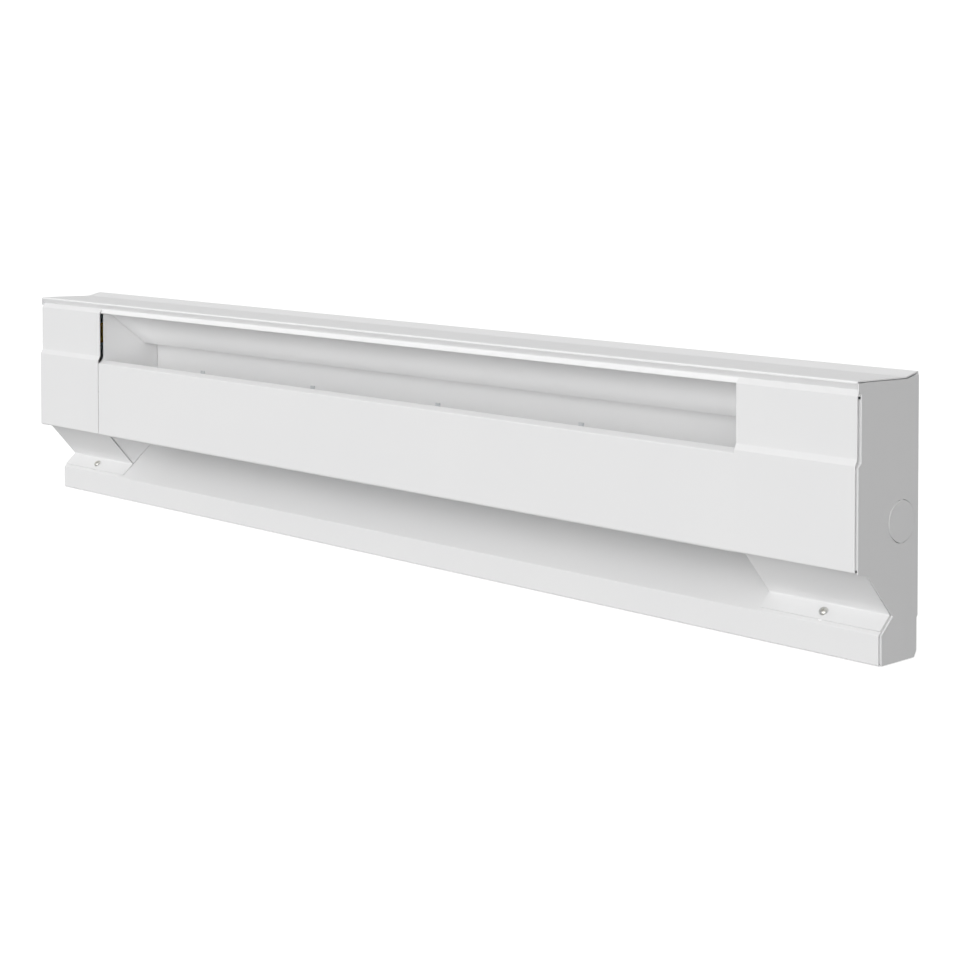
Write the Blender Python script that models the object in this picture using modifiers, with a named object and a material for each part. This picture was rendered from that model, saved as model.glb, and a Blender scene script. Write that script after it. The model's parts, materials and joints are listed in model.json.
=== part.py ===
"""Electric baseboard heater, 36 inches long.

A folded steel casing stands against the wall. Air enters under the front panel, passes a finned
element and leaves under the hood. A wiring compartment at each end is closed by a cover with one
screw. The heater lies along X, its front faces -Y, and it stands on Z = 0. A cross-section point is
(depth from the wall, height), both in millimetres, as all driving dimensions are.
"""

import math

import bmesh
import bpy
from mathutils import Matrix, Vector

MM = 0.001

# Overall size
LENGTH = 914.4
HEIGHT = 177.8
DEPTH = 64.6

# Sheet metal and clearances
SHEET = 0.7
END_SHEET = 0.8
GAP = 0.3
BEND = 1.0
FLANGE = 8.0

# Lengthwise places, measured from the middle
KNOCKOUT_PROUD = 0.3
END_OUTER = LENGTH / 2 - KNOCKOUT_PROUD
END_INNER = END_OUTER - END_SHEET
INSIDE_END = END_INNER - GAP
COVER_INNER = 362.0
PANEL_END = COVER_INNER - GAP
DEFLECTOR_END = COVER_INNER
PARTITION_FACE = COVER_INNER + GAP
BRACKET_SPACING = 146.0
BRACKET_SHEET = 1.0
SCREW_X = LENGTH / 2 - 47.5

# Cross-section of the hood, from the wall forward
BACK_LOW = 25.0
CREST_TRIM = 0.2
KNEE = (13.2, 175.0)
HEM_TOP = (62.8, 176.2)
HEM_LOW = (62.8, 174.6)
RECESS = (58.6, 170.4)
LIP = (61.6, 166.6)

# Cross-section of the bottom pan
TOE_DEPTH = 40.2
TOE_TOP = 18.8
TOE_RETURN = 32.0
PAN_REAR = 1.8
PAN_SLOPE = 0.849
PAN_FLANGE_TOP = 64.0
SLOPE_ANGLE = math.atan(PAN_SLOPE)

# Cross-section of a wiring cover
COVER_TOP = (59.9, 170.5)
COVER_SHOULDER = (62.6, 167.1)
JOG_HIGH = (62.6, 129.0)
JOG_LOW = (DEPTH, 125.1)
COVER_BOTTOM = (DEPTH, 60.2)
COVER_RETURN = (53.6, 58.0)
COVER_FOLD_DEPTH = 28.7
COVER_TIP_DEPTH = 38.6
COVER_SCREW_DEPTH = 33.4

# Cross-section of the front panel
PANEL_FACE = 64.0
PANEL_HOOK = (57.2, 121.5)
PANEL_CREST = (57.2, 125.7)
PANEL_BEVEL = (PANEL_FACE, 122.8)
PANEL_BOTTOM = (PANEL_FACE, 59.5)
PANEL_RETURN = (55.0, 58.9)

# Heating element
ELEMENT = (31.0, 90.0)
SHEATH_RADIUS = 4.0
SHEATH_END = 372.0
FIN_SIZE = (44.0, 52.0)
FIN_THICK = 0.5
FIN_PITCH = 8.0
FIN_REACH = 336.0
FIN_CLEARANCE = 7.0
COLLAR_RADIUS = 5.6
BUSHING_RADIUS = 7.0
PIN_RADIUS = 1.5
PIN_END = 392.0

# Over-temperature cut-out
SENSOR = (55.6, 111.0)
SENSOR_RADIUS = 1.2
GROMMET_RADIUS = 2.3
SWITCH_X = (368.0, 392.0)
SWITCH_DEPTH = (20.0, 42.0)
SWITCH_HEIGHT = (132.0, 152.0)

# Wiring
WIRE_RADIUS = 1.3
RACEWAY = (8.0, 158.0)

WHITE = ("white_powder_coat", (0.84, 0.85, 0.86), 0.45, 0.0)
GALVANISED = ("galvanised_steel", (0.55, 0.57, 0.59), 0.40, 0.9)
ALUMINIUM = ("fin_aluminium", (0.76, 0.77, 0.78), 0.35, 1.0)
STEEL = ("sheath_steel", (0.35, 0.34, 0.33), 0.45, 0.9)
ZINC = ("zinc_screw", (0.62, 0.62, 0.60), 0.30, 1.0)
GREEN = ("green_screw", (0.05, 0.32, 0.12), 0.40, 0.3)
NYLON = ("nylon_bushing", (0.80, 0.79, 0.74), 0.50, 0.0)
SILICONE = ("silicone_seal", (0.45, 0.12, 0.08), 0.60, 0.0)
PHENOLIC = ("black_phenolic", (0.03, 0.03, 0.03), 0.45, 0.0)
COPPER = ("copper_capillary", (0.72, 0.42, 0.28), 0.30, 1.0)
BLACK_WIRE = ("black_wire", (0.02, 0.02, 0.02), 0.50, 0.0)
RED_WIRE = ("red_wire", (0.45, 0.04, 0.03), 0.50, 0.0)
CONNECTOR = ("connector_plastic", (0.80, 0.45, 0.06), 0.50, 0.0)


# Scene and materials


def clear_scene():
    for thing in list(bpy.data.objects):
        bpy.data.objects.remove(thing, do_unlink=True)


def new_collection(name):
    group = bpy.data.collections.new(name)
    bpy.context.scene.collection.children.link(group)
    return group


def material(finish):
    name, color, roughness, metallic = finish
    made = bpy.data.materials.get(name)
    if made is None:
        made = bpy.data.materials.new(name)
        made.use_nodes = True
        shader = made.node_tree.nodes["Principled BSDF"]
        shader.inputs["Base Color"].default_value = (*color, 1.0)
        shader.inputs["Roughness"].default_value = roughness
        shader.inputs["Metallic"].default_value = metallic
        made.diffuse_color = (*color, 1.0)
    return made


# Helpers for places and outlines


def at(x, depth, height):
    """World point, in metres, of a place given in millimetres."""
    return Vector((x, DEPTH / 2 - depth, height)) * MM


def pan_height(depth, above=0.0):
    """Height of the pan's sloping face, or of a line parallel to it that far above the sheet."""
    return TOE_TOP + PAN_SLOPE * (TOE_DEPTH - depth) + above / math.cos(SLOPE_ANGLE)


def rounded(points, steps=3):
    """The outline with an arc at each inner corner. A third value in a point is its bend radius."""
    corners = [Vector(p[:2]) for p in points]
    radii = [p[2] if len(p) > 2 else BEND for p in points]
    path = [corners[0]]
    for before, here, after, radius in zip(corners, corners[1:], corners[2:], radii[1:]):
        back = (before - here).normalized()
        on = (after - here).normalized()
        half = back.angle(on) / 2
        run = radius / math.tan(half)
        centre = here + (back + on).normalized() * (radius / math.sin(half))
        first = here + back * run - centre
        sweep = math.pi - 2 * half
        turn = 1 if back.x * on.y - back.y * on.x < 0 else -1
        for step in range(steps + 1):
            angle = turn * sweep * step / steps
            cos, sin = math.cos(angle), math.sin(angle)
            arm = Vector((first.x * cos - first.y * sin, first.x * sin + first.y * cos))
            path.append(centre + arm)
    path.append(corners[-1])
    return path


def smooth_path(points, per_bend=5):
    """A smooth curve through the points. A stretch that stays straight keeps only its ends."""
    knots = [points[0] * 2 - points[1], *points, points[-1] * 2 - points[-2]]
    path = []
    for a, b, c, d in zip(knots, knots[1:], knots[2:], knots[3:]):
        run = (c - b).length
        leave = (c - a) * run / ((b - a).length + run)
        arrive = (d - b) * run / ((d - c).length + run)
        bent = max(leave.angle(c - b), arrive.angle(c - b)) > math.radians(1)
        count = per_bend if bent else 1
        for step in range(count):
            t = step / count
            path.append(
                b * (2 * t**3 - 3 * t**2 + 1)
                + leave * (t**3 - 2 * t**2 + t)
                + c * (3 * t**2 - 2 * t**3)
                + arrive * (t**3 - t**2)
            )
    path.append(points[-1])
    return path


# Helpers that make and change solids


def add_mesh(name, bm, finish, group):
    mesh = bpy.data.meshes.new(name)
    bm.to_mesh(mesh)
    bm.free()
    made = bpy.data.objects.new(name, mesh)
    mesh.materials.append(material(finish))
    group.objects.link(made)
    return made


def hide(made):
    made.hide_render = True
    made.display_type = "WIRE"
    return made


def smooth(made, degrees=30):
    made.data.shade_smooth()
    made.data.set_sharp_from_angle(angle=math.radians(degrees))


def solidify(made, thickness):
    thicken = made.modifiers.new("sheet", "SOLIDIFY")
    thicken.thickness = thickness * MM
    thicken.offset = -1
    thicken.use_even_offset = True


def sheet(name, points, low_x, high_x, finish=WHITE, thickness=SHEET):
    """Sheet bent along X. Its visible side is on the left as the outline is walked."""
    path = rounded(points)
    bm = bmesh.new()
    row = [bm.verts.new(at(low_x, p.x, p.y)) for p in path]
    edges = [bm.edges.new(pair) for pair in zip(row, row[1:])]
    grown = bmesh.ops.extrude_edge_only(bm, edges=edges)["geom"]
    moved = [g for g in grown if isinstance(g, bmesh.types.BMVert)]
    bmesh.ops.translate(bm, verts=moved, vec=Vector(((high_x - low_x) * MM, 0, 0)))
    bm.normal_update()
    along = path[1] - path[0]
    if edges[0].link_faces[0].normal.dot(Vector((0, along.y, along.x))) < 0:
        bmesh.ops.reverse_faces(bm, faces=bm.faces)
    made = add_mesh(name, bm, finish, PARTS)
    solidify(made, thickness)
    smooth(made)
    return made


def plate(name, outline, face_x, outward, flanges, finish=WHITE, thickness=END_SHEET):
    """Flat plate across X, with a flange bent inward along each listed pair of outline points."""
    bm = bmesh.new()
    ring = [bm.verts.new(at(face_x, *p)) for p in outline]
    edges = [bm.edges.new((a, b)) for a, b in zip(ring, ring[1:] + ring[:1])]
    cap = bmesh.ops.contextual_create(bm, geom=edges)["faces"][0]
    bent = [edges[outline.index(first)] for first in flanges]
    grown = bmesh.ops.extrude_edge_only(bm, edges=bent)["geom"]
    moved = [g for g in grown if isinstance(g, bmesh.types.BMVert)]
    bmesh.ops.translate(bm, verts=moved, vec=Vector((-outward * FLANGE * MM, 0, 0)))
    bmesh.ops.recalc_face_normals(bm, faces=bm.faces)
    if cap.normal.x * outward < 0:
        bmesh.ops.reverse_faces(bm, faces=bm.faces)
    made = add_mesh(name, bm, finish, PARTS)
    bend = made.modifiers.new("bend", "BEVEL")
    bend.width = BEND * MM
    bend.segments = 3
    bend.limit_method = "ANGLE"
    bend.angle_limit = math.radians(60)
    solidify(made, thickness)
    smooth(made)
    return made


def box(name, x, depth, height, finish=WHITE, group=None):
    """Block between two values of each of X, depth and height."""
    low = at(min(x), max(depth), min(height))
    high = at(max(x), min(depth), max(height))
    bm = bmesh.new()
    bmesh.ops.create_cube(bm, size=1)
    size = high - low
    bmesh.ops.scale(bm, verts=bm.verts, vec=size)
    bmesh.ops.translate(bm, verts=bm.verts, vec=(low + high) / 2)
    return add_mesh(name, bm, finish, group or PARTS)


def rod(name, start, end, radius, finish=WHITE, group=None, sides=16):
    """Round bar from one world point to another."""
    line = end - start
    turn = line.to_track_quat("Z", "Y").to_matrix().to_4x4()
    place = Matrix.Translation((start + end) / 2) @ turn
    bm = bmesh.new()
    bmesh.ops.create_cone(
        bm,
        cap_ends=True,
        segments=sides,
        radius1=radius * MM,
        radius2=radius * MM,
        depth=line.length,
        matrix=place,
    )
    made = add_mesh(name, bm, finish, group or PARTS)
    smooth(made)
    return made


def turned(name, profile, origin, direction, finish, closed=False, sides=16):
    """Turned piece. The profile is (radius, distance along the axis), and an open one starts and
    ends on the axis."""
    bm = bmesh.new()
    row = [bm.verts.new(Vector((r, 0, h)) * MM) for r, h in profile]
    pairs = list(zip(row, row[1:]))
    if closed:
        pairs.append((row[-1], row[0]))
    edges = [bm.edges.new(pair) for pair in pairs]
    bmesh.ops.spin(
        bm,
        geom=[*row, *edges],
        cent=(0, 0, 0),
        axis=(0, 0, 1),
        angle=2 * math.pi,
        steps=sides,
        use_merge=True,
    )
    bmesh.ops.remove_doubles(bm, verts=bm.verts, dist=0.01 * MM)
    bmesh.ops.recalc_face_normals(bm, faces=bm.faces)
    made = add_mesh(name, bm, finish, PARTS)
    turn = direction.to_track_quat("Z", "Y").to_matrix().to_4x4()
    made.matrix_world = Matrix.Translation(origin) @ turn
    smooth(made)
    return made


def wire(name, points, finish, radius=WIRE_RADIUS):
    """Insulated wire along a smooth curve through (x, depth, height) points."""
    path = smooth_path([at(*p) for p in points])
    curve = bpy.data.curves.new(name, "CURVE")
    curve.dimensions = "3D"
    curve.bevel_depth = radius * MM
    curve.bevel_resolution = 2
    curve.use_fill_caps = True
    spline = curve.splines.new("POLY")
    spline.points.add(len(path) - 1)
    for point, place in zip(spline.points, path):
        point.co = (*place, 1)
    made = bpy.data.objects.new(name, curve)
    curve.materials.append(material(finish))
    PARTS.objects.link(made)
    return made


def combine(made, other, operation="DIFFERENCE"):
    """Cuts the hidden helper from the piece, or joins it to the piece."""
    step = made.modifiers.new(operation.lower(), "BOOLEAN")
    step.operation = operation
    step.object = hide(other)


def join_box(made, x, depth, height):
    combine(made, box(made.name + "_lug", x, depth, height, group=CUTTERS), "UNION")


def drill(made, start, end, radius, sides=16):
    combine(made, rod(made.name + "_hole", start, end, radius, group=CUTTERS, sides=sides))


# Casing


def knockout(made, x, depth, height, radius):
    """Pre-cut disc held by two tabs across its gap. Its two faces are the pair in x or in depth."""
    web = 0.5
    tab = 3.0
    inset = 0.1
    if isinstance(x, tuple):
        back, face = (at(value, depth, height) for value in x)
        way_out = math.copysign(1, x[1])
        tab_x = (x[0] + way_out * inset, x[1] - way_out * (KNOCKOUT_PROUD + inset))
        tab_depth = (depth - tab / 2, depth + tab / 2)
    else:
        back, face = (at(x, value, height) for value in depth)
        tab_x = (x - tab / 2, x + tab / 2)
        tab_depth = (min(depth) + inset, max(depth) - inset)
    beyond = (face - back).normalized() * 4 * MM
    drill(made, back - beyond, face + beyond, radius, sides=32)
    combine(made, rod(made.name + "_disc", back, face, radius - web, group=CUTTERS, sides=32), "UNION")
    for way in (-1, 1):
        middle = height + way * (radius - web / 2)
        join_box(made, tab_x, tab_depth, (middle - tab / 2, middle + tab / 2))


def rear_casing():
    """Back wall, hood, hemmed front edge, recess and lip, folded from one sheet."""
    outline = [
        (0, BACK_LOW),
        (0, HEIGHT + CREST_TRIM, 0.8),
        (*KNEE, 4.0),
        (*HEM_TOP, 0.8),
        (*HEM_LOW, 0.8),
        RECESS,
        (*LIP, 0.8),
        (LIP[0] - 2.6, LIP[1] - 0.1),
    ]
    made = sheet("rear_casing", outline, -INSIDE_END, INSIDE_END)
    for side in (-1, 1):
        for height in (72, 158):
            drill(made, at(side * 405, -2, height), at(side * 405, 3, height), 2.5)
        knockout(made, side * 425, (0, SHEET), 104, 11.1)
    return made


def bottom_pan():
    """Sloping floor of the air inlet, with the toe strip in front of it."""
    outline = [
        (PAN_REAR, PAN_FLANGE_TOP),
        (PAN_REAR, pan_height(PAN_REAR)),
        (TOE_DEPTH, TOE_TOP),
        (TOE_DEPTH, 0),
        (TOE_RETURN, 0),
    ]
    made = sheet("bottom_pan", outline, -INSIDE_END, INSIDE_END)
    for side in (-1, 1):
        adjusting_slot(made, side)
    return made


def slope_frame():
    """World directions out of the pan's slope and down along it."""
    outward = Vector((0, -math.sin(SLOPE_ANGLE), math.cos(SLOPE_ANGLE)))
    down = Vector((0, -math.cos(SLOPE_ANGLE), -math.sin(SLOPE_ANGLE)))
    return outward, down


def screw_place(side):
    """Where a cover screw's axis meets the pan's sloping face."""
    return at(side * SCREW_X, COVER_SCREW_DEPTH, pan_height(COVER_SCREW_DEPTH))


def adjusting_slot(made, side):
    """Slot that lets the screw's tip swing out with the cover."""
    reach = 4.0
    outward, down = slope_frame()
    centre = screw_place(side)
    for distance in (0, reach / 2, reach):
        spot = centre + down * distance * MM
        drill(made, spot - outward * 3 * MM, spot + outward * 3 * MM, 2.3)


def heat_deflector():
    """Sheet that turns the rising air forward, behind the lip."""
    outline = [(60.3, 173.6), (57.5, 170.8, 2.0), (14.7, 137.7)]
    return sheet("heat_deflector", outline, -DEFLECTOR_END, DEFLECTOR_END)


def end_plate(word, side):
    outline = [
        (30.0, 0.0),
        (6.0, 0.0),
        (4.6, 0.0),
        (2.0, 4.0),
        (2.0, 24.5),
        (1.0, 26.0),
        (1.0, 70.0),
        (1.0, 168.0),
        (1.0, 175.8),
        (13.2, 173.7),
        (54.0, 174.7),
        (62.6, 174.9),
        (62.6, 169.3),
        (59.7, 168.3),
        (59.7, 165.0),
        (59.7, 126.4),
        (62.6, 123.9),
        (62.6, 62.0),
        (62.6, 59.4),
        (53.2, 58.0),
        (26.8, 28.8),
        (38.4, 18.9),
        (38.4, 1.6),
        (38.4, 0.0),
    ]
    flanges = [
        (30.0, 0.0),
        (1.0, 70.0),
        (13.2, 173.7),
        (59.7, 165.0),
        (59.7, 126.4),
        (62.6, 123.9),
        (26.8, 28.8),
        (38.4, 18.9),
    ]
    made = plate(word + "_end_plate", outline, side * END_OUTER, side, flanges)
    disc_x = (side * (END_INNER + KNOCKOUT_PROUD), side * LENGTH / 2)
    knockout(made, disc_x, 18.5, 86.5, 13.6)
    return made


def partition(word, side):
    """Inner wall of a wiring compartment, with holes for the element, sensor and return wire."""
    outline = [
        (2.2, pan_height(2.2, 0.5)),
        (2.2, 70.0),
        (1.1, 70.0),
        (1.1, 175.6),
        (13.2, 173.6),
        (56.5, 174.5),
        (56.5, 166.0),
        (57.9, 165.2),
        (57.9, 127.5),
        (61.3, 123.0),
        (61.3, 61.6),
        (52.5, 59.2),
        (27.2, pan_height(27.2, 0.5)),
    ]
    made = plate(word + "_partition", outline, side * PARTITION_FACE, -side, [(1.1, 70.0)])
    near = side * (PARTITION_FACE - 5)
    far = side * (PARTITION_FACE + 5)
    drill(made, at(near, *ELEMENT), at(far, *ELEMENT), BUSHING_RADIUS + GAP, sides=24)
    drill(made, at(near, *RACEWAY), at(far, *RACEWAY), WIRE_RADIUS + 1.2)
    drill(made, at(near, 14, 78), at(far, 14, 78), 2.3)
    if side > 0:
        drill(made, at(near, *SENSOR), at(far, *SENSOR), SENSOR_RADIUS + 1.0)
    return made


# Covers and panel


def wiring_cover(word, side):
    """Cover of a wiring compartment. Its top edge hooks under the hood and its foot takes a screw."""
    lift = SHEET + GAP
    outline = [
        COVER_TOP,
        COVER_SHOULDER,
        (*JOG_HIGH, 1.4),
        (*JOG_LOW, 1.4),
        (*COVER_BOTTOM, 1.6),
        (*COVER_RETURN, 1.4),
        (COVER_FOLD_DEPTH, pan_height(COVER_FOLD_DEPTH, lift)),
        (COVER_TIP_DEPTH, pan_height(COVER_TIP_DEPTH, lift)),
    ]
    ends = sorted((side * COVER_INNER, side * INSIDE_END))
    made = sheet(word + "_wiring_cover", outline, *ends)
    outward, _ = slope_frame()
    spot = screw_place(side)
    drill(made, spot - outward * 3 * MM, spot + outward * 3 * MM, 2.1)
    return made


def cover_screw(word, side):
    """Cross-head screw, square to the slope, whose head clamps the cover's foot."""
    head_radius = 3.2
    head_height = 2.0
    shank_radius = 1.7
    reach = 2 * SHEET + 2 * GAP + 1.5
    outward, down = slope_frame()
    under_head = 2 * GAP + SHEET
    seat = screw_place(side) + outward * under_head * MM
    profile = [(0, -reach), (0.9, -reach), (shank_radius, 0.7 - reach), (shank_radius, 0), (head_radius, 0)]
    for step in range(4):
        angle = math.radians(25 + 65 * step / 3)
        profile.append((head_radius * math.cos(angle) if step < 3 else 0, head_height * math.sin(angle)))
    made = turned(word + "_cover_screw", profile, seat, outward, ZINC)
    for axis in (down, Vector((1, 0, 0))):
        slot = rod(
            made.name + "_slot",
            seat + outward * head_height * MM - axis * 1.7 * MM,
            seat + outward * head_height * MM + axis * 1.7 * MM,
            0.7,
            group=CUTTERS,
            sides=4,
        )
        combine(made, slot)
    return made


def front_panel():
    """Panel between the covers, hung by its folded top edge on the brackets."""
    outline = [
        PANEL_HOOK,
        (*PANEL_CREST, 0.8),
        (*PANEL_BEVEL, 1.2),
        (*PANEL_BOTTOM, 2.0),
        PANEL_RETURN,
    ]
    return sheet("front_panel", outline, -PANEL_END, PANEL_END)


# Element and what carries it


def bracket_places():
    return [BRACKET_SPACING * (index - 1.5) for index in range(4)]


def bracket(index, x):
    """Upright plate that carries the element and has the hook for the front panel."""
    outline = [
        (1.6, 72.0),
        (1.6, 112.0),
        (20.0, 118.0),
        (54.0, 118.0),
        (59.6, 118.0),
        (59.6, 122.4),
        (60.6, 122.4),
        (60.6, 68.0),
        (52.0, 62.5),
        (20.0, 62.5),
    ]
    curve = bpy.data.curves.new("bracket_outline", "CURVE")
    curve.dimensions = "2D"
    curve.fill_mode = "BOTH"
    curve.extrude = BRACKET_SHEET / 2 * MM
    spline = curve.splines.new("POLY")
    spline.points.add(len(outline) - 1)
    for point, (depth, height) in zip(spline.points, outline):
        point.co = ((DEPTH / 2 - depth) * MM, height * MM, 0, 1)
    spline.use_cyclic_u = True
    guide = bpy.data.objects.new("bracket_outline", curve)
    PARTS.objects.link(guide)
    bpy.context.view_layer.update()
    mesh = bpy.data.meshes.new_from_object(guide.evaluated_get(bpy.context.evaluated_depsgraph_get()))
    bpy.data.objects.remove(guide)
    bm = bmesh.new()
    bm.from_mesh(mesh)
    bmesh.ops.remove_doubles(bm, verts=bm.verts, dist=0.01 * MM)
    upright = Matrix(((0, 0, 1, 0), (1, 0, 0, 0), (0, 1, 0, 0), (0, 0, 0, 1)))
    bmesh.ops.transform(bm, matrix=Matrix.Translation((x * MM, 0, 0)) @ upright, verts=bm.verts)
    bmesh.ops.recalc_face_normals(bm, faces=bm.faces)
    made = add_mesh(f"element_bracket_{index}", bm, GALVANISED, PARTS)
    join_box(made, (x - 6, x + 6), (1.1, 2.1), (74, 110))
    join_box(made, (x - 2.2, x + 2.2), (54.2, 55.4), (117, 127.2))
    join_box(made, (x - 6, x + 6), (59.4, 60.8), (119.2, 122.6))
    drill(made, at(x - 5, *ELEMENT), at(x + 5, *ELEMENT), BUSHING_RADIUS + GAP, sides=24)
    drill(made, at(x - 5, *SENSOR), at(x + 5, *SENSOR), GROMMET_RADIUS + GAP)
    return made


def grooved_ring(name, place, bore, groove, wall, lip, finish, sides=16):
    """Ring with a groove that holds a wall's edge. What runs through it is free to slide."""
    inner = bore + GAP
    half = wall / 2 + GAP
    outer = groove + lip
    profile = [
        (inner, -half - lip),
        (outer, -half - lip),
        (outer, -half),
        (groove, -half),
        (groove, half),
        (outer, half),
        (outer, half + lip),
        (inner, half + lip),
    ]
    return turned(name, profile, place, Vector((1, 0, 0)), finish, closed=True, sides=sides)


def bushing(name, x, wall):
    """Ring that lets the sheath slide in its wall as it grows with heat."""
    return grooved_ring(name, at(x, *ELEMENT), SHEATH_RADIUS, BUSHING_RADIUS, wall, 1.6, NYLON)


def fin_group(index, low_x, high_x):
    """Pressed fins whose collars touch, so that the group is one piece on the sheath."""
    name = f"element_fins_{index}"
    count = int((high_x - low_x) // FIN_PITCH)
    first = (low_x + high_x - count * FIN_PITCH) / 2
    ends = (first - 1.5, first + count * FIN_PITCH + 1.5)
    made = rod(name, at(ends[0], *ELEMENT), at(ends[1], *ELEMENT), COLLAR_RADIUS, ALUMINIUM, sides=8)
    bm = bmesh.new()
    for fin in range(count + 1):
        cube = bmesh.ops.create_cube(bm, size=1)["verts"]
        size = Vector((FIN_THICK, FIN_SIZE[0], FIN_SIZE[1])) * MM
        bmesh.ops.scale(bm, verts=cube, vec=size)
        bmesh.ops.translate(bm, verts=cube, vec=at(first + fin * FIN_PITCH, *ELEMENT))
    combine(made, add_mesh(name + "_plates", bm, ALUMINIUM, CUTTERS), "UNION")
    drill(made, at(ends[0] - 2, *ELEMENT), at(ends[1] + 2, *ELEMENT), SHEATH_RADIUS + GAP)
    return made


def element():
    rod("element_sheath", at(-SHEATH_END, *ELEMENT), at(SHEATH_END, *ELEMENT), SHEATH_RADIUS, STEEL)
    stops = [-FIN_REACH - FIN_CLEARANCE, *bracket_places(), FIN_REACH + FIN_CLEARANCE]
    for index, (low, high) in enumerate(zip(stops, stops[1:]), 1):
        fin_group(index, low + FIN_CLEARANCE, high - FIN_CLEARANCE)
    for word, side in (("left", -1), ("right", 1)):
        out = Vector((side, 0, 0))
        seal_start = SHEATH_END + GAP
        seal = [(0, 0), (5.0, 0), (5.0, 3.5), (3.0, 6.0), (0, 6.0)]
        turned(word + "_end_seal", seal, at(side * seal_start, *ELEMENT), out, SILICONE)
        pin_start = seal_start + 6.0 + GAP
        rod(
            word + "_terminal_pin",
            at(side * pin_start, *ELEMENT),
            at(side * PIN_END, *ELEMENT),
            PIN_RADIUS,
            ZINC,
        )
        sleeve = [(0, 0), (2.9, 0), (3.2, 1.0), (3.2, 10.0), (1.9, 14.0), (0, 14.0)]
        turned(
            word + "_terminal_sleeve", sleeve, at(side * (PIN_END + GAP), *ELEMENT), out, NYLON
        )
        wall_middle = side * (PARTITION_FACE + END_SHEET / 2)
        bushing(word + "_partition_bushing", wall_middle, END_SHEET)


# Cut-out, wiring and earth


def cut_out():
    """Over-temperature switch in the right compartment and its sensing tube above the fins."""
    body = box("limit_switch", SWITCH_X, SWITCH_DEPTH, SWITCH_HEIGHT, PHENOLIC)
    edge = body.modifiers.new("edge", "BEVEL")
    edge.width = 1.2 * MM
    edge.segments = 2
    middle = sum(SWITCH_X) / 2
    tube = [
        (middle, 30, SWITCH_HEIGHT[0] - 2 * GAP),
        (middle - 0.5, 31, SWITCH_HEIGHT[0] - 5),
        (middle - 4, 41, SENSOR[1] + 5),
        (middle - 11, SENSOR[0] - 2.5, SENSOR[1] + 0.3),
        (middle - 18, *SENSOR),
        (middle - 30, *SENSOR),
        (0, *SENSOR),
        (-FIN_REACH, *SENSOR),
    ]
    wire("sensing_tube", tube, COPPER, SENSOR_RADIUS)
    for index, x in enumerate(bracket_places(), 1):
        name = f"sensor_grommet_{index}"
        place = at(x, *SENSOR)
        grooved_ring(name, place, SENSOR_RADIUS, GROMMET_RADIUS, BRACKET_SHEET, 1.1, SILICONE, sides=12)


def wiring():
    wire_gap = 0.6
    sleeve_end = PIN_END + GAP + 14.0 + wire_gap
    switch_face = SWITCH_X[1] + wire_gap
    right_lead = [
        (sleeve_end, *ELEMENT),
        (sleeve_end + 8, 31, 92),
        (sleeve_end + 14, 32, 112),
        (sleeve_end + 8, 34, 134),
        (switch_face, 34, 138),
    ]
    wire("right_element_lead", right_lead, BLACK_WIRE)
    switch_lead = [
        (switch_face, 27, 147),
        (switch_face + 20, 26, 151),
        (switch_face + 42, 28, 140),
        (switch_face + 48, 32, 118),
        (switch_face + 46, 34, 104),
    ]
    wire("switch_supply_lead", switch_lead, BLACK_WIRE)
    left_lead = [
        (-sleeve_end, *ELEMENT),
        (-sleeve_end - 10, 31, 92),
        (-sleeve_end - 17, 30, 108),
        (-sleeve_end - 12, 28, 128),
        (-sleeve_end - 8, 28, 133),
    ]
    wire("left_element_lead", left_lead, BLACK_WIRE)
    return_wire = [
        (-sleeve_end - 1, 20, 136),
        (-sleeve_end + 8, 14, 150),
        (-PARTITION_FACE - 12, *RACEWAY),
        (-PARTITION_FACE + 20, *RACEWAY),
        (0, *RACEWAY),
        (PARTITION_FACE - 20, *RACEWAY),
        (PARTITION_FACE + 12, *RACEWAY),
        (switch_face + 14, 10, 150),
        (switch_face + 30, 14, 130),
        (switch_face + 30, 18, 104),
    ]
    wire("return_wire", return_wire, RED_WIRE)
    cap = [(0, 0), (4.6, 0), (4.9, 2.0), (3.6, 14.0), (2.4, 17.0), (0, 17.5)]
    nuts = (
        ("right_supply_connector", at(switch_face + 46, 34, 104 - wire_gap), Vector((0, 0, -1))),
        ("right_return_connector", at(switch_face + 30, 18, 104 - wire_gap), Vector((0, 0, -1))),
        ("left_joint_connector", at(-sleeve_end - 5, 24, 136), Vector((-0.3, 0, 1))),
    )
    for name, place, direction in nuts:
        turned(name, cap, place, direction.normalized(), CONNECTOR, sides=12)


def earth_screw(word, side):
    """Green earthing screw, through the partition from the wiring side."""
    inward = Vector((-side, 0, 0))
    seat = at(side * (PARTITION_FACE + END_SHEET + GAP), 14, 78)
    profile = [(0, -3.0), (3.6, -3.0), (4.2, -2.4), (4.2, 0), (1.8, 0), (1.8, 5.0), (1.0, 6.0), (0, 6.0)]
    return turned(word + "_earth_screw", profile, seat, inward, GREEN, sides=12)


def cable_clamp(word, side):
    """Saddle over the supply cable beside the rear entry hole."""
    outline = [
        (2.4, 118.0),
        (2.4, 124.0),
        (9.4, 126.5, 2.0),
        (9.4, 137.5, 2.0),
        (2.4, 140.0),
        (2.4, 146.0),
    ]
    made = sheet(word + "_cable_clamp", outline[::-1], side * 430 - 6, side * 430 + 6, GALVANISED, 1.0)
    return made


def build():
    rear_casing()
    bottom_pan()
    heat_deflector()
    front_panel()
    for word, side in (("left", -1), ("right", 1)):
        end_plate(word, side)
        partition(word, side)
        wiring_cover(word, side)
        cover_screw(word, side)
        earth_screw(word, side)
        cable_clamp(word, side)
    for index, x in enumerate(bracket_places(), 1):
        bracket(index, x)
        bushing(f"bracket_bushing_{index}", x, BRACKET_SHEET)
    element()
    cut_out()
    wiring()


clear_scene()
PARTS = new_collection("baseboard_heater")
CUTTERS = new_collection("cutters")
build()
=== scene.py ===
import json
import math

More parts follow.
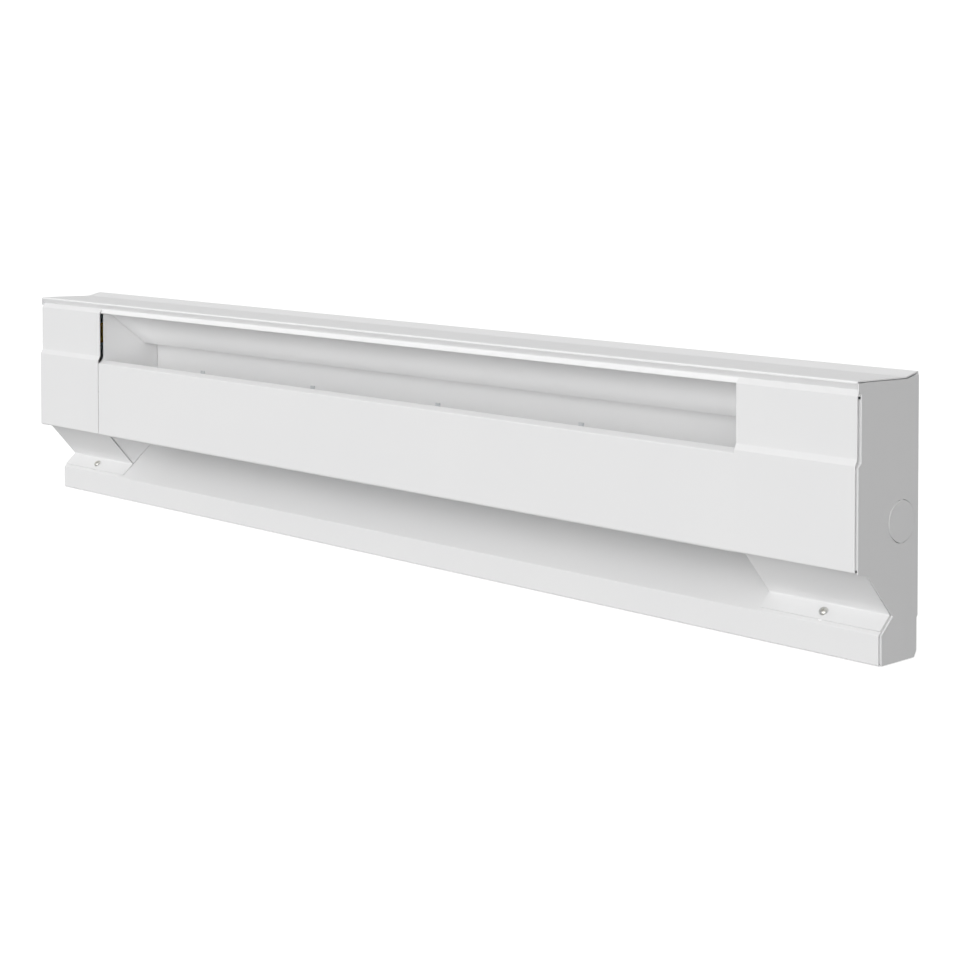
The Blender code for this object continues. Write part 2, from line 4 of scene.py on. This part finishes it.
import bpy
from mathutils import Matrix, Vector

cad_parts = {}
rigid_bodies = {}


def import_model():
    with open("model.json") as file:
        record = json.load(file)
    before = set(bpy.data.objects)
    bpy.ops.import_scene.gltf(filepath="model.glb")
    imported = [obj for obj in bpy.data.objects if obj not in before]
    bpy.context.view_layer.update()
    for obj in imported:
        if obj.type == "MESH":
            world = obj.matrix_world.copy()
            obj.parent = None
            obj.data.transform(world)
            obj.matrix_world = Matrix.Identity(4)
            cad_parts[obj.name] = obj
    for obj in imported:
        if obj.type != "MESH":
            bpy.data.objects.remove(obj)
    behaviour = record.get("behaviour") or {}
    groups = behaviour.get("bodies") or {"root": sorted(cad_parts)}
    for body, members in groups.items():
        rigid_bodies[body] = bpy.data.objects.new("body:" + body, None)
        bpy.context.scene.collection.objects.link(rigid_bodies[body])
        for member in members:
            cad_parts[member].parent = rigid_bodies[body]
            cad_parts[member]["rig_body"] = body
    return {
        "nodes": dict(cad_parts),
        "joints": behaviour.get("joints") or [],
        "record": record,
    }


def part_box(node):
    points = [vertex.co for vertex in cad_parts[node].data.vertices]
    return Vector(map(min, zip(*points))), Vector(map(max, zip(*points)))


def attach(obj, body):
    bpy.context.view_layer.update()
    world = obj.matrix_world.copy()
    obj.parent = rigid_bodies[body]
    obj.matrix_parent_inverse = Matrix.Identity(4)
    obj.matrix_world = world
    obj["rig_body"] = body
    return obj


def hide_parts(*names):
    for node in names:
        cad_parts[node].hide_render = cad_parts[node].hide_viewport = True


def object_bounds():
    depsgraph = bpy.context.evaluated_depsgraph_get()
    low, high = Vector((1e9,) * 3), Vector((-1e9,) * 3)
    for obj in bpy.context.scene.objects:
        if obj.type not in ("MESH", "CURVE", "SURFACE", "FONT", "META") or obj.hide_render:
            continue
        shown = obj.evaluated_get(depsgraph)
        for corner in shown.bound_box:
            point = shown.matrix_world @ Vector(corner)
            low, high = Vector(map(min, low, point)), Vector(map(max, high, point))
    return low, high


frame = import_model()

MM = 0.001
cad_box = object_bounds()

# Camera, fitted to the view that the heater is seen from
CAMERA_PLACE = Vector((1217.3, -1060.5, 323.2)) * MM
CAMERA_AZIMUTH = 46.64
CAMERA_ELEVATION = 1.74
CAMERA_LENS = 79.17
CAMERA_SHIFT = -0.2917


def facing(azimuth, elevation):
    """Direction out from the heater, with azimuth 0 in front of it and 90 at its right end."""
    turn, rise = math.radians(azimuth), math.radians(elevation)
    flat = math.cos(rise)
    return Vector((math.sin(turn) * flat, -math.cos(turn) * flat, math.sin(rise)))


def add_camera():
    data = bpy.data.cameras.new("camera")
    data.lens = CAMERA_LENS
    data.sensor_width = 36
    data.shift_y = CAMERA_SHIFT
    data.clip_start = 0.05
    data.clip_end = 60
    camera = bpy.data.objects.new("camera", data)
    bpy.context.scene.collection.objects.link(camera)
    back = facing(CAMERA_AZIMUTH, CAMERA_ELEVATION)
    camera.location = CAMERA_PLACE
    camera.rotation_euler = (-back).to_track_quat("-Z", "Y").to_euler()
    bpy.context.scene.camera = camera


# Materials


FINE_GRAIN = 0.01 * MM
MOULDED_GRAIN = 0.015 * MM
ROLLED_GRAIN = 0.02 * MM


class Nodes:
    """A material's node tree, with the shader that its nodes feed."""

    def __init__(self, name, color, roughness, metallic=0.0):
        self.material = bpy.data.materials.new(name)
        self.material.use_nodes = True
        self.tree = self.material.node_tree
        self.shader = self.tree.nodes["Principled BSDF"]
        self.shader.inputs["Base Color"].default_value = (*color, 1)
        self.shader.inputs["Roughness"].default_value = roughness
        self.shader.inputs["Metallic"].default_value = metallic
        self.material.diffuse_color = (*color, 1)
        self.place = self.tree.nodes.new("ShaderNodeTexCoord").outputs["Object"]

    def link(self, source, target):
        self.tree.links.new(source, target)

    def stretched(self, scale):
        mapping = self.tree.nodes.new("ShaderNodeMapping")
        mapping.inputs["Scale"].default_value = scale
        self.link(self.place, mapping.inputs["Vector"])
        return mapping.outputs["Vector"]

    def noise(self, scale, detail, stretch=None):
        node = self.tree.nodes.new("ShaderNodeTexNoise")
        node.inputs["Scale"].default_value = scale
        node.inputs["Detail"].default_value = detail
        self.link(self.stretched(stretch) if stretch else self.place, node.inputs["Vector"])
        return node.outputs["Fac"]

    def cells(self, scale):
        node = self.tree.nodes.new("ShaderNodeTexVoronoi")
        node.inputs["Scale"].default_value = scale
        self.link(self.place, node.inputs["Vector"])
        return node

    def ranged(self, value, low_in, high_in, low_out, high_out):
        node = self.tree.nodes.new("ShaderNodeMapRange")
        node.inputs["From Min"].default_value = low_in
        node.inputs["From Max"].default_value = high_in
        node.inputs["To Min"].default_value = low_out
        node.inputs["To Max"].default_value = high_out
        self.link(value, node.inputs["Value"])
        return node.outputs["Result"]

    def blended(self, factor, first, second):
        node = self.tree.nodes.new("ShaderNodeMix")
        node.data_type = "RGBA"
        self.link(factor, node.inputs["Factor"])
        for socket, value in zip((node.inputs[6], node.inputs[7]), (first, second)):
            if isinstance(value, tuple):
                socket.default_value = (*value, 1)
            else:
                self.link(value, socket)
        return node.outputs[2]

    def color(self, source):
        self.link(source, self.shader.inputs["Base Color"])

    def roughness(self, source):
        self.link(source, self.shader.inputs["Roughness"])

    def bump(self, height, depth):
        """Adds a bump of that depth in metres on top of the bumps before it."""
        node = self.tree.nodes.new("ShaderNodeBump")
        node.inputs["Strength"].default_value = 1
        node.inputs["Distance"].default_value = depth
        self.link(height, node.inputs["Height"])
        before = self.shader.inputs["Normal"].links
        if before:
            self.link(before[0].from_socket, node.inputs["Normal"])
        self.link(node.outputs["Normal"], self.shader.inputs["Normal"])


def powder_coat(name, shade):
    """Semi-gloss white with slow drifts of thickness, a fine orange peel and a few dust specks."""
    made = Nodes(name, (shade, shade, shade), 0.5)
    cloud = made.ranged(made.noise(9, 3), 0.3, 0.7, 0, 1)
    clean = made.blended(cloud, (shade - 0.012, shade - 0.01, shade - 0.006), (shade + 0.008,) * 3)
    speck = made.ranged(made.cells(260).outputs["Distance"], 0.05, 0.09, 0.12, 0)
    made.color(made.blended(speck, clean, (shade * 0.6,) * 3))
    made.roughness(made.ranged(made.noise(60, 4), 0.3, 0.7, 0.46, 0.56))
    made.bump(made.noise(650, 1), FINE_GRAIN)
    return made.material


def galvanised_steel():
    made = Nodes("galvanised_steel", (0.55, 0.57, 0.59), 0.4, 0.9)
    spangle = made.cells(160).outputs["Color"]
    grains = made.ranged(spangle, 0.1, 0.9, 0, 1)
    made.color(made.blended(grains, (0.60, 0.62, 0.64), (0.78, 0.80, 0.82)))
    made.roughness(made.ranged(made.noise(300, 3), 0.3, 0.7, 0.32, 0.5))
    made.bump(made.noise(900, 2), FINE_GRAIN)
    return made.material


def fin_aluminium():
    made = Nodes("fin_aluminium", (0.78, 0.79, 0.80), 0.32, 1.0)
    rolled = made.noise(1, 3, stretch=(60, 60, 1500))
    made.color(made.blended(rolled, (0.68, 0.69, 0.70), (0.86, 0.87, 0.88)))
    made.roughness(made.ranged(made.noise(80, 3), 0.3, 0.7, 0.24, 0.4))
    made.bump(rolled, ROLLED_GRAIN)
    return made.material


def sheath_steel():
    """Steel that has turned straw and blue with heat."""
    made = Nodes("sheath_steel", (0.35, 0.34, 0.33), 0.4, 0.9)
    heat = made.ranged(made.noise(25, 4, stretch=(1, 0.3, 0.3)), 0.35, 0.65, 0, 1)
    straw = made.blended(heat, (0.36, 0.34, 0.32), (0.42, 0.33, 0.20))
    blue = made.ranged(made.noise(40, 2), 0.55, 0.75, 0, 0.6)
    made.color(made.blended(blue, straw, (0.22, 0.25, 0.33)))
    made.roughness(made.ranged(made.noise(400, 4), 0.3, 0.7, 0.32, 0.5))
    made.bump(made.noise(1, 2, stretch=(60, 2500, 2500)), FINE_GRAIN)
    return made.material


def zinc_plate():
    made = Nodes("zinc_plate", (0.62, 0.62, 0.60), 0.3, 1.0)
    passivated = made.ranged(made.noise(350, 3), 0.3, 0.7, 0, 1)
    made.color(made.blended(passivated, (0.56, 0.57, 0.58), (0.68, 0.66, 0.58)))
    made.roughness(made.ranged(made.noise(1500, 2), 0.3, 0.7, 0.22, 0.42))
    return made.material


def green_screw():
    made = Nodes("green_screw", (0.05, 0.32, 0.12), 0.35, 0.4)
    dye = made.ranged(made.noise(500, 3), 0.3, 0.7, 0, 1)
    made.color(made.blended(dye, (0.03, 0.25, 0.09), (0.08, 0.40, 0.17)))
    made.roughness(made.ranged(made.noise(1200, 2), 0.3, 0.7, 0.25, 0.45))
    return made.material


def nylon():
    made = Nodes("nylon", (0.80, 0.79, 0.74), 0.45)
    made.shader.inputs["Subsurface Weight"].default_value = 0.2
    made.shader.inputs["Subsurface Radius"].default_value = (0.001, 0.001, 0.0008)
    aged = made.ranged(made.noise(120, 3), 0.3, 0.7, 0, 1)
    made.color(made.blended(aged, (0.80, 0.78, 0.71), (0.84, 0.83, 0.79)))
    made.bump(made.noise(1800, 2), FINE_GRAIN)
    return made.material


def moulded(name, dark, light, roughness, grain=1500):
    """Moulded or extruded plastic or rubber with a fine matt grain."""
    made = Nodes(name, light, roughness)
    made.color(made.blended(made.ranged(made.noise(220, 4), 0.3, 0.7, 0, 1), dark, light))
    made.roughness(made.ranged(made.noise(500, 3), 0.3, 0.7, roughness - 0.06, roughness + 0.08))
    made.bump(made.noise(grain, 2), MOULDED_GRAIN)
    return made.material


def copper():
    made = Nodes("copper", (0.72, 0.42, 0.28), 0.3, 1.0)
    tarnish = made.ranged(made.noise(90, 4), 0.4, 0.7, 0, 1)
    made.color(made.blended(tarnish, (0.76, 0.45, 0.30), (0.48, 0.27, 0.18)))
    made.roughness(made.ranged(made.noise(400, 3), 0.3, 0.7, 0.22, 0.42))
    return made.material


def finishes():
    return {
        "white_enamel": powder_coat("powder_coat", 0.815),
        # Lighter coat that paints light onto the sheets around the outlet; the real paint is the
        # same white.
        "painted_light_enamel": powder_coat("painted_light_powder_coat", 0.90),
        "galvanised_steel": galvanised_steel(),
        "fin_aluminium": fin_aluminium(),
        "sheath_steel": sheath_steel(),
        "zinc_plate": zinc_plate(),
        "green_screw": green_screw(),
        "nylon": nylon(),
        "silicone": moulded("silicone", (0.38, 0.10, 0.07), (0.48, 0.13, 0.09), 0.6),
        "phenolic": moulded("phenolic", (0.02, 0.02, 0.02), (0.045, 0.043, 0.04), 0.4, 900),
        "copper": copper(),
        "black_wire": moulded("black_wire", (0.015, 0.015, 0.016), (0.03, 0.03, 0.03), 0.42),
        "red_wire": moulded("red_wire", (0.40, 0.03, 0.025), (0.50, 0.05, 0.035), 0.42),
        "connector": moulded("connector", (0.74, 0.40, 0.05), (0.84, 0.49, 0.08), 0.45),
    }


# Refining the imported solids

WELD_REACH = 0.002 * MM
CUT_EDGE = 0.15
SEAM_ANGLE = 35


def refine(made, edge=CUT_EDGE):
    """Welds the solid's facets into whole faces, rounds its cut edges and evens its shading."""
    made.data.shade_smooth()
    weld = made.modifiers.new("weld", "WELD")
    weld.merge_threshold = WELD_REACH
    flats = made.modifiers.new("flats", "DECIMATE")
    flats.decimate_type = "DISSOLVE"
    flats.angle_limit = math.radians(0.2)
    round_edges = made.modifiers.new("edges", "BEVEL")
    round_edges.width = edge * MM
    round_edges.segments = 2
    round_edges.limit_method = "ANGLE"
    round_edges.angle_limit = math.radians(SEAM_ANGLE)
    round_edges.use_clamp_overlap = True
    even = made.modifiers.new("even", "WEIGHTED_NORMAL")
    even.keep_sharp = True
    even.weight = 100


def round_off(made):
    """Welds a packed tube's facets and subdivides them into a round section."""
    made.data.shade_smooth()
    weld = made.modifiers.new("weld", "WELD")
    weld.merge_threshold = WELD_REACH
    rounder = made.modifiers.new("round", "SUBSURF")
    rounder.levels = 1
    rounder.render_levels = 1


FLEXIBLE = ("black_wire", "red_wire", "copper")

# Sheets around the outlet. Their lighter coat is painted light that brightens these faces where
# the outlet shades them, not a second real paint.
AROUND_OUTLET = ("rear_casing", "heat_deflector", "left_partition", "right_partition")


def dress(made, slot):
    made.data.materials.clear()
    made.data.materials.append(looks[slot])


# Pieces that stand for the small CAD solids, in millimetres along their own axes


def skin(name, rings):
    """Surface through a row of matching rings of points, with its first and last ring closed."""
    count = len(rings[0])
    points = [point for ring in rings for point in ring]
    faces = []
    for low in range(0, len(points) - count, count):
        for index in range(count):
            after = (index + 1) % count
            faces.append((low + index, low + after, low + count + after, low + count + index))
    faces.append(tuple(range(count))[::-1])
    faces.append(tuple(range(len(points) - count, len(points))))
    mesh = bpy.data.meshes.new(name)
    mesh.from_pydata(points, [], faces)
    made = bpy.data.objects.new(name, mesh)
    bpy.context.scene.collection.objects.link(made)
    return made


def lathe(name, profile, origin, direction, wave, sides=48):
    """Turned surface through (radius, height) rings. The wave sets the radius around the axis."""
    turn = direction.to_track_quat("Z", "Y")
    rings = []
    for radius, height in profile:
        ring = []
        for step in range(sides):
            angle = 2 * math.pi * step / sides
            reach = wave(angle, radius, height)
            spot = Vector((reach * math.cos(angle), reach * math.sin(angle), height))
            ring.append(origin + turn @ spot * MM)
        rings.append(ring)
    return skin(name, rings)


def carve(made, cutter):
    """Cuts the cutter's shape out of the piece and removes the cutter."""
    step = made.modifiers.new("carve", "BOOLEAN")
    step.operation = "DIFFERENCE"
    step.solver = "EXACT"
    step.object = cutter
    bpy.context.view_layer.update()
    solved = made.evaluated_get(bpy.context.evaluated_depsgraph_get())
    made.data = bpy.data.meshes.new_from_object(solved)
    made.modifiers.clear()
    bpy.data.objects.remove(cutter)


END_DEPTH = 0.1 * MM


def foot(node, direction):
    """Middle of a turned node's lowest end along the direction, and its length in millimetres."""
    corners = [vertex.co for vertex in frame["nodes"][node].data.vertices]
    low = min(corner.dot(direction) for corner in corners)
    high = max(corner.dot(direction) for corner in corners)
    end = [corner for corner in corners if corner.dot(direction) < low + END_DEPTH]
    spans = [(min(c[axis] for c in end), max(c[axis] for c in end)) for axis in range(3)]
    return Vector((first + last) / 2 for first, last in spans), (high - low) / MM


def stand_in(made, node, edge=CUT_EDGE):
    """Puts a piece in a CAD node's place, on its body and in its material."""
    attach(made, frame["nodes"][node]["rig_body"])
    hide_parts(node)
    refine(made, edge)
    dress(made, slots[node])


# Radius and height of a screw's tip, and how far its thread stays clear of the tip and the head
SCREW_TIP = [(0.3, 0), (0.9, 0.1)]
THREAD_START = 0.6
THREAD_CLEAR = 0.1
THREAD_PITCH = 0.8
RINGS_PER_TURN = 6
SCREW_EDGE = 0.06


def shank(core, depth, seat):
    """Rings of a screw's tip and thread up to the seat of its head, and the wave that winds it."""
    low, high = THREAD_START, seat - THREAD_CLEAR
    count = round((high - low) / THREAD_PITCH * RINGS_PER_TURN)
    rings = [(core, low + (high - low) * step / count) for step in range(count + 1)]

    def wave(angle, radius, height):
        if not low < height < high:
            return radius
        turn = (height / THREAD_PITCH - angle / (2 * math.pi)) % 1
        return core + depth * abs(2 * turn - 1)

    return SCREW_TIP + rings, wave


def cross_recess(name, centre, direction, reach, depth):
    """Tapered cross that a screwdriver bit leaves in a head."""
    turn = direction.to_track_quat("Z", "Y")
    rings = []
    for height, scale in ((-depth, 0.5), (depth, 1.0)):
        long, short = reach * scale, 0.42 * scale
        ring = []
        for quarter in range(4):
            angle = quarter * math.pi / 2
            for x, y in ((long, -short), (long, short), (short, short)):
                spot = Vector(
                    (
                        x * math.cos(angle) - y * math.sin(angle),
                        x * math.sin(angle) + y * math.cos(angle),
                        height,
                    )
                )
                ring.append(centre + turn @ spot * MM)
        rings.append(ring)
    return skin(name, rings)


def cover_screws():
    """Pan-head screws with a cross recess and a cut thread."""
    head, head_radius = 2.0, 3.2
    for joint in frame["joints"]:
        if not joint["name"].endswith("_screw_out"):
            continue
        node = joint["name"].replace("_screw_out", "_cover_screw")
        direction = Vector(joint["axis"]).normalized()
        tip, length = foot(node, direction)
        seat = length - head
        profile, wave = shank(1.35, 0.33, seat)
        profile += [(1.6, seat), (head_radius - 0.12, seat), (head_radius, seat + 0.15)]
        for step in range(1, 9):
            angle = math.radians(10 + 78 * step / 8)
            rise = 0.15 + (head - 0.15) * math.sin(angle) ** 1.2
            profile.append((head_radius * math.cos(angle) ** 0.6, seat + rise))
        made = lathe(node + "_look", profile, tip, direction, wave)
        top = tip + direction * length * MM
        carve(made, cross_recess("recess", top, direction, 1.8, 1.2))
        stand_in(made, node, edge=SCREW_EDGE)


def earth_screws():
    """Green hexagon screws with a washer face and a slot."""
    head = 3.0
    for node, side in (("left_earth_screw", -1), ("right_earth_screw", 1)):
        direction = Vector((side, 0, 0))
        tip, length = foot(node, direction)
        seat = length - head
        profile, thread = shank(1.4, 0.35, seat)
        profile += [(1.7, seat), (4.1, seat), (4.2, seat + 0.3), (4.1, seat + 0.6)]
        profile += [(3.9, seat + 0.7), (3.9, seat + 2.6), (3.4, length), (0.2, length)]

        def wave(angle, radius, height):
            if height < seat + 0.65 or radius < 1:
                return thread(angle, radius, height)
            across = radius * math.cos(math.pi / 6)
            turned = angle % (math.pi / 3) - math.pi / 6
            return min(radius, across / math.cos(turned))

        made = lathe(node + "_look", profile, tip, direction, wave)
        top = tip + direction * length * MM
        cut = []
        for height in (-0.9, 0.9):
            ring = ((-6, -0.45), (6, -0.45), (6, 0.45), (-6, 0.45))
            cut.append([top + Vector((side * height, y, z)) * MM for y, z in ring][::side])
        carve(made, skin("slot", cut))
        stand_in(made, node, edge=SCREW_EDGE)


WIRE_NUTS = (
    ("right_supply_connector", (0, 0, -1)),
    ("right_return_connector", (0, 0, -1)),
    ("left_joint_connector", (-0.3, 0, 1)),
)


def wire_nuts():
    """Ribbed twist-on connectors with a skirt."""

    def ribs(angle, radius, height):
        if not 3 < height < 14.2:
            return radius
        return radius - 0.28 * (1 - abs(math.cos(8 * angle)))

    profile = [(0.2, 0), (4.3, 0), (4.75, 0.3), (4.9, 1.6), (4.6, 2.4)]
    profile += [(4.6 - 1.05 * step / 10, 2.9 + 1.1 * step) for step in range(11)]
    profile += [(3.3, 14.6), (2.7, 16.2), (2.2, 17.0), (1.3, 17.4), (0.2, 17.5)]
    for node, direction in WIRE_NUTS:
        way = Vector(direction).normalized()
        made = lathe(node + "_look", profile, foot(node, way)[0], way, ribs, sides=64)
        stand_in(made, node, edge=0.1)


# Depth from the wall and height of each lead on the switch
SWITCH_LEADS = ((34, 138), (27, 147))


def limit_switch():
    """Moulded case in two halves, with a raised boss and two blades on its wiring side."""
    low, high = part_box("limit_switch")
    middle = (low + high) / 2
    size = (high - low) / MM

    def block(name, sections, centre, corner):
        """Rounded block: (width along Y, height along Z, place along X) sections."""
        rings = []
        for width, height, place in sections:
            ring = []
            for step in range(48):
                angle = 2 * math.pi * (step + 0.5) / 48
                y, z = math.cos(angle) * 2 / width, math.sin(angle) * 2 / height
                reach = (abs(y) ** corner + abs(z) ** corner) ** (-1 / corner)
                spot = Vector((0, reach * math.cos(angle), reach * math.sin(angle)))
                ring.append(Vector((low.x + place * MM, centre.y, centre.z)) + spot * MM)
            rings.append(ring)
        return skin(name, rings)

    wide, tall = size.y, size.z
    case = [
        (wide - 1.2, tall - 1.2, 0),
        (wide, tall, 0.6),
        (wide, tall, 13.6),
        (wide - 1, tall - 1, 13.8),
        (wide - 1, tall - 1, 14.2),
        (wide - 0.4, tall - 0.4, 14.4),
        (wide - 0.4, tall - 0.4, 20.4),
        (wide - 1.8, tall - 1.8, 21.2),
    ]
    made = block("limit_switch_look", case, middle, 14)
    stand_in(made, "limit_switch", edge=0.1)
    boss = [(11, 11, 20.9), (11, 11, 21.6), (9.6, 9.6, 22.4)]
    corner = Vector((middle.x, middle.y + 3.5 * MM, middle.z - 1 * MM))
    extras = [("switch_boss", boss, corner, 3, "phenolic")]
    blade = [(2.6, 6.3, 20.9), (2.6, 6.3, 21.6), (0.9, 6.0, 21.8), (0.8, 5.2, size.x)]
    for index, (depth, height) in enumerate(SWITCH_LEADS, 1):
        spot = Vector((middle.x, cad_box[1].y - depth * MM, height * MM))
        extras.append((f"switch_blade_{index}", blade, spot, 10, "zinc_plate"))
    for name, sections, centre, corner, slot in extras:
        made = block(name, sections, centre, corner)
        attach(made, frame["nodes"]["limit_switch"]["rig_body"])
        refine(made, 0.1)
        dress(made, slot)


FIN_PITCH = 8.0
FIN_CORNER = 3.0
FIN_GAUGE = 0.3
FIN_COLLAR_GAP = 0.6
FIN_LAST_COLLAR = 1.4
FIN_END_SLACK = 3

# Radius and place along the sheath of the rings between a fin's collar and its rim
FIN_SECTION = ((5.4, 0.2), (7.5, 0), (9.0, 0), (10.0, 0.7), (12.0, 0.7), (13.0, 0))


def fin_rim(half_depth, half_height):
    """Outline of a fin: a rectangle with rounded corners and evenly spaced points on its sides."""
    arc_steps, side_steps = 5, 5
    rim = []
    for quarter in range(4):
        across = 1 if quarter in (0, 3) else -1
        up = 1 if quarter in (0, 1) else -1
        centre = Vector((across * (half_depth - FIN_CORNER), up * (half_height - FIN_CORNER)))
        for step in range(arc_steps + 1):
            angle = (quarter + step / arc_steps) * math.pi / 2
            rim.append(centre + Vector((math.cos(angle), math.sin(angle))) * FIN_CORNER)
    full = []
    for index, point in enumerate(rim):
        full.append(point)
        if index % (arc_steps + 1) == arc_steps:
            after = rim[(index + 1) % len(rim)]
            full += [point.lerp(after, step / side_steps) for step in range(1, side_steps)]
    return full


def fins():
    """Pressed aluminium fins with a drawn collar and an embossed ring, one row for each group."""
    for index in range(1, 6):
        node = f"element_fins_{index}"
        low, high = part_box(node)
        middle = (low + high) / 2
        half_depth, half_height = (high.y - low.y) / 2 / MM, (high.z - low.z) / 2 / MM
        count = round(((high.x - low.x) / MM - FIN_END_SLACK) / FIN_PITCH)
        first = middle.x / MM - count * FIN_PITCH / 2
        rim = fin_rim(half_depth, half_height)
        ways = [point.normalized() for point in rim]
        points, faces = [], []
        for fin in range(count + 1):
            collar = FIN_PITCH - FIN_COLLAR_GAP if fin < count else FIN_LAST_COLLAR
            section = ((4.5, collar + 0.1), (5.0, collar), (5.0, 0.8), *FIN_SECTION)
            rings = [([way * radius for way in ways], place) for radius, place in section]
            rings.append((rim, 0))
            for ring, (outline, place) in enumerate(rings):
                if ring:
                    base = len(points) - len(rim)
                    for step in range(len(rim)):
                        after = (step + 1) % len(rim)
                        edge = (base + step, base + after)
                        faces.append((*edge, edge[1] + len(rim), edge[0] + len(rim)))
                x = (first + fin * FIN_PITCH + place) * MM
                points += [Vector((x, middle.y + p.x * MM, middle.z + p.y * MM)) for p in outline]
        mesh = bpy.data.meshes.new(node + "_look")
        mesh.from_pydata(points, [], faces)
        made = bpy.data.objects.new(node + "_look", mesh)
        bpy.context.scene.collection.objects.link(made)
        mesh.shade_smooth()
        gauge = made.modifiers.new("gauge", "SOLIDIFY")
        gauge.thickness = FIN_GAUGE * MM
        gauge.offset = 0
        crisp = made.modifiers.new("crisp", "EDGE_SPLIT")
        crisp.split_angle = math.radians(SEAM_ANGLE)
        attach(made, frame["nodes"][node]["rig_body"])
        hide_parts(node)
        dress(made, "fin_aluminium")


# Studio


# Direction, sharpness and strength of each soft light around the room
BROAD = 2
NARROW = 16
LOBES = (
    (facing(-90, 0), BROAD, 0.8),
    (facing(180, 0), BROAD, 0.4),
    (facing(0, 90), BROAD, 0.6),
    (facing(0, 10), NARROW, 1.7),
    (facing(0, 30), NARROW, 1.5),
    (facing(35, 10), NARROW, 4.1),
    (facing(35, -10), NARROW, 0.4),
)

# Strip light whose narrow beam fills the outlet between the covers
STRIP_LENGTH = 0.70
STRIP_WIDTH = 0.02
STRIP_SPREAD = math.radians(4)
STRIP_AWAY = 0.40
STRIP_RISE = math.radians(5)
STRIP_POWER = 0.018
STRIP_AIM = 0.25

GAMMA = 1.3
FLOOR_HALF = 40.0
FLOOR_LEVEL = -0.5 * MM
FLOOR_SHADE = 0.8
FLOOR_GLOW = 0.7


def lobe(tree, direction, sharpness, strength):
    """Light from one side of the room, brightest along the direction, gone a quarter turn away."""
    way = tree.nodes.new("ShaderNodeTexCoord").outputs["Generated"]
    toward = tree.nodes.new("ShaderNodeVectorMath")
    toward.operation = "DOT_PRODUCT"
    toward.inputs[1].default_value = direction
    tree.links.new(way, toward.inputs[0])
    lit = tree.nodes.new("ShaderNodeMath")
    lit.operation = "MAXIMUM"
    lit.inputs[1].default_value = 0
    tree.links.new(toward.outputs["Value"], lit.inputs[0])
    soft = tree.nodes.new("ShaderNodeMath")
    soft.operation = "POWER"
    soft.inputs[1].default_value = sharpness
    tree.links.new(lit.outputs["Value"], soft.inputs[0])
    scaled = tree.nodes.new("ShaderNodeMath")
    scaled.operation = "MULTIPLY"
    scaled.inputs[1].default_value = strength
    tree.links.new(soft.outputs["Value"], scaled.inputs[0])
    return scaled.outputs["Value"]


def room_light(world):
    tree = world.node_tree
    total = tree.nodes.new("ShaderNodeLightPath").outputs["Is Camera Ray"]
    for direction, sharpness, strength in LOBES:
        both = tree.nodes.new("ShaderNodeMath")
        both.operation = "ADD"
        tree.links.new(total, both.inputs[0])
        tree.links.new(lobe(tree, direction, sharpness, strength), both.inputs[1])
        total = both.outputs["Value"]
    tree.links.new(total, tree.nodes["Background"].inputs["Strength"])
    tree.nodes["Background"].inputs["Color"].default_value = (1, 1, 1, 1)


def strip_light():
    """Soft strip in front of the heater, a little below the outlet and aimed up into it."""
    data = bpy.data.lights.new("strip", "AREA")
    data.shape = "RECTANGLE"
    data.size = STRIP_LENGTH
    data.size_y = STRIP_WIDTH
    data.spread = STRIP_SPREAD
    data.energy = STRIP_POWER
    strip = bpy.data.objects.new("strip", data)
    bpy.context.scene.collection.objects.link(strip)
    deflector_low, deflector_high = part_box("heat_deflector")
    target = (deflector_low + deflector_high) / 2
    target.z = deflector_low.z + STRIP_AIM * (deflector_high.z - deflector_low.z)
    away = Vector((0, -math.cos(STRIP_RISE), -math.sin(STRIP_RISE)))
    strip.location = target + away * STRIP_AWAY
    strip.rotation_euler = (-away).to_track_quat("-Z", "Y").to_euler()
    strip.visible_camera = False
    strip.visible_glossy = False


def studio():
    scene = bpy.context.scene
    scene.view_settings.view_transform = "Standard"
    scene.view_settings.gamma = GAMMA
    world = bpy.data.worlds.new("studio")
    world.use_nodes = True
    scene.world = world
    room_light(world)
    mesh = bpy.data.meshes.new("floor")
    ways = ((-1, -1), (1, -1), (1, 1), (-1, 1))
    corners = [(x * FLOOR_HALF, y * FLOOR_HALF, FLOOR_LEVEL) for x, y in ways]
    mesh.from_pydata(corners, [], [(0, 1, 2, 3)])
    floor = bpy.data.objects.new("floor", mesh)
    scene.collection.objects.link(floor)
    look = Nodes("floor", (FLOOR_SHADE,) * 3, 0.9)
    look.shader.inputs["Emission Color"].default_value = (1, 1, 1, 1)
    look.shader.inputs["Emission Strength"].default_value = FLOOR_GLOW
    floor.data.materials.append(look.material)
    floor.visible_diffuse = False
    floor.visible_glossy = False
    floor.visible_shadow = False


add_camera()
looks = finishes()
slots = {part["node"]: part["material_slot"] for part in frame["record"]["subparts"]}
# Painted light: the sheets around the outlet get the lighter coat to brighten their shaded faces.
for name in AROUND_OUTLET:
    slots[name] = "painted_light_enamel"
for name, made in frame["nodes"].items():
    if slots[name] in FLEXIBLE:
        round_off(made)
    else:
        refine(made)
    dress(made, slots[name])
cover_screws()
earth_screws()
wire_nuts()
limit_switch()
fins()
studio()
strip_light()
